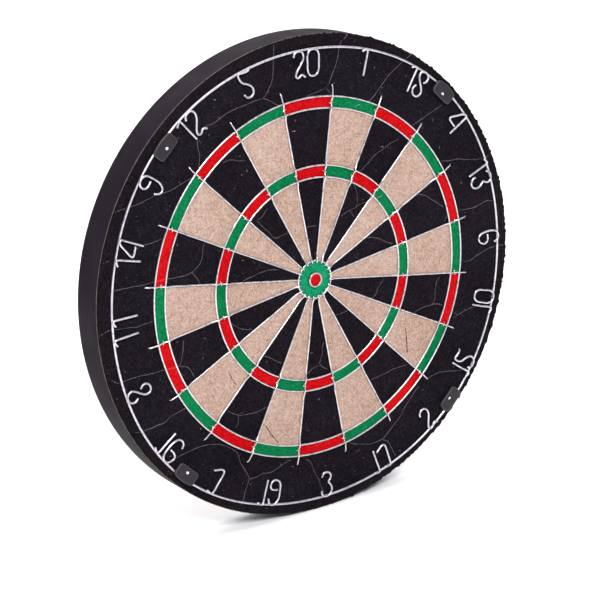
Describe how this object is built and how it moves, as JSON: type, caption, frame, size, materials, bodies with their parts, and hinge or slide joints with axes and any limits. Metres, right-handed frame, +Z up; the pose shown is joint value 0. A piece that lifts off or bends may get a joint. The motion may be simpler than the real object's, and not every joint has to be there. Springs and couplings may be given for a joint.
{
  "type": "dartboard",
  "caption": "Round bristle dartboard with dark rim band, wire spider, lift-off wire number ring held by turning clips, and a screw at the back to hang it by.",
  "frame": {"origin": "middle of the back, where the hanging screw's head touches the wall plane y = 0", "axes": "+Z up with the 20 sector at the top, +X to the right as a player sees it, -Y out of the playing face, so +Y points into the wall"},
  "size_m": [0.46, 0.045, 0.46],
  "materials": {
    "sisal": "matte trimmed plant fibre, dyed black, natural, red and green by sector",
    "fibre_board": "matte pressed wood-fibre board",
    "band": "satin black paint",
    "spider_wire": "bright galvanised wire",
    "bull_ring": "bright galvanised strip",
    "number_wire": "white-silver coated wire",
    "clip": "satin black, lighter on the edges",
    "nail": "bright steel",
    "zinc": "zinc plated",
    "pad": "matte black rubber"
  },
  "bodies": {
    "board": {"sisal_core": "sisal", "backing_board": "fibre_board", "rim_band": "band", "double_outer_wire": "spider_wire", "double_inner_wire": "spider_wire", "treble_outer_wire": "spider_wire", "treble_inner_wire": "spider_wire", "outer_bull_wire": "spider_wire", "inner_bull_ring": "bull_ring", "radial_wire_01": "spider_wire", "radial_wire_02": "spider_wire", "radial_wire_03": "spider_wire", "radial_wire_04": "spider_wire", "radial_wire_05": "spider_wire", "radial_wire_06": "spider_wire", "radial_wire_07": "spider_wire", "radial_wire_08": "spider_wire", "radial_wire_09": "spider_wire", "radial_wire_10": "spider_wire", "radial_wire_11": "spider_wire", "radial_wire_12": "spider_wire", "radial_wire_13": "spider_wire", "radial_wire_14": "spider_wire", "radial_wire_15": "spider_wire", "radial_wire_16": "spider_wire", "radial_wire_17": "spider_wire", "radial_wire_18": "spider_wire", "radial_wire_19": "spider_wire", "radial_wire_20": "spider_wire", "hanging_screw": "zinc", "hanging_washer": "zinc", "spacer_pad_1": "pad", "spacer_pad_2": "pad", "spacer_pad_3": "pad", "spacer_screw_1": "zinc", "spacer_screw_2": "zinc", "spacer_screw_3": "zinc"},
    "number_ring": {"number_ring": "number_wire"},
    "nail_1": {"clip_nail_1": "nail"},
    "clip_1": {"ring_clip_1": "clip"},
    "nail_2": {"clip_nail_2": "nail"},
    "clip_2": {"ring_clip_2": "clip"},
    "nail_3": {"clip_nail_3": "nail"},
    "clip_3": {"ring_clip_3": "clip"},
    "nail_4": {"clip_nail_4": "nail"},
    "clip_4": {"ring_clip_4": "clip"}
  },
  "joints": [
    {"name": "number_ring_lift_off", "type": "slide", "parent": "board", "child": "number_ring", "axis": [0, -1, 0], "range_m": [0, 0.04]},
    {"name": "nail_1_pull", "type": "slide", "parent": "board", "child": "nail_1", "axis": [0, -1, 0], "range_m": [0, 0.04]},
    {"name": "clip_1_turn", "type": "hinge", "parent": "nail_1", "child": "clip_1", "pos_m": [0.15181, -0.04, 0.15394], "axis": [0, -1, 0], "range_deg": [-180, 180]},
    {"name": "nail_2_pull", "type": "slide", "parent": "board", "child": "nail_2", "axis": [0, -1, 0], "range_m": [0, 0.04]},
    {"name": "clip_2_turn", "type": "hinge", "parent": "nail_2", "child": "clip_2", "pos_m": [0.15247, -0.04, -0.153], "axis": [0, -1, 0], "range_deg": [-180, 180]},
    {"name": "nail_3_pull", "type": "slide", "parent": "board", "child": "nail_3", "axis": [0, -1, 0], "range_m": [0, 0.04]},
    {"name": "clip_3_turn", "type": "hinge", "parent": "nail_3", "child": "clip_3", "pos_m": [-0.15003, -0.04, -0.15428], "axis": [0, -1, 0], "range_deg": [-180, 180]},
    {"name": "nail_4_pull", "type": "slide", "parent": "board", "child": "nail_4", "axis": [0, -1, 0], "range_m": [0, 0.04]},
    {"name": "clip_4_turn", "type": "hinge", "parent": "nail_4", "child": "clip_4", "pos_m": [-0.15095, -0.04, 0.15042], "axis": [0, -1, 0], "range_deg": [-180, 180]}
  ],
  "couplings": [
    {"joint": "nail_1_pull", "follows": "number_ring_lift_off", "ratio": 1},
    {"joint": "nail_2_pull", "follows": "number_ring_lift_off", "ratio": 1},
    {"joint": "nail_3_pull", "follows": "number_ring_lift_off", "ratio": 1},
    {"joint": "nail_4_pull", "follows": "number_ring_lift_off", "ratio": 1}
  ]
}
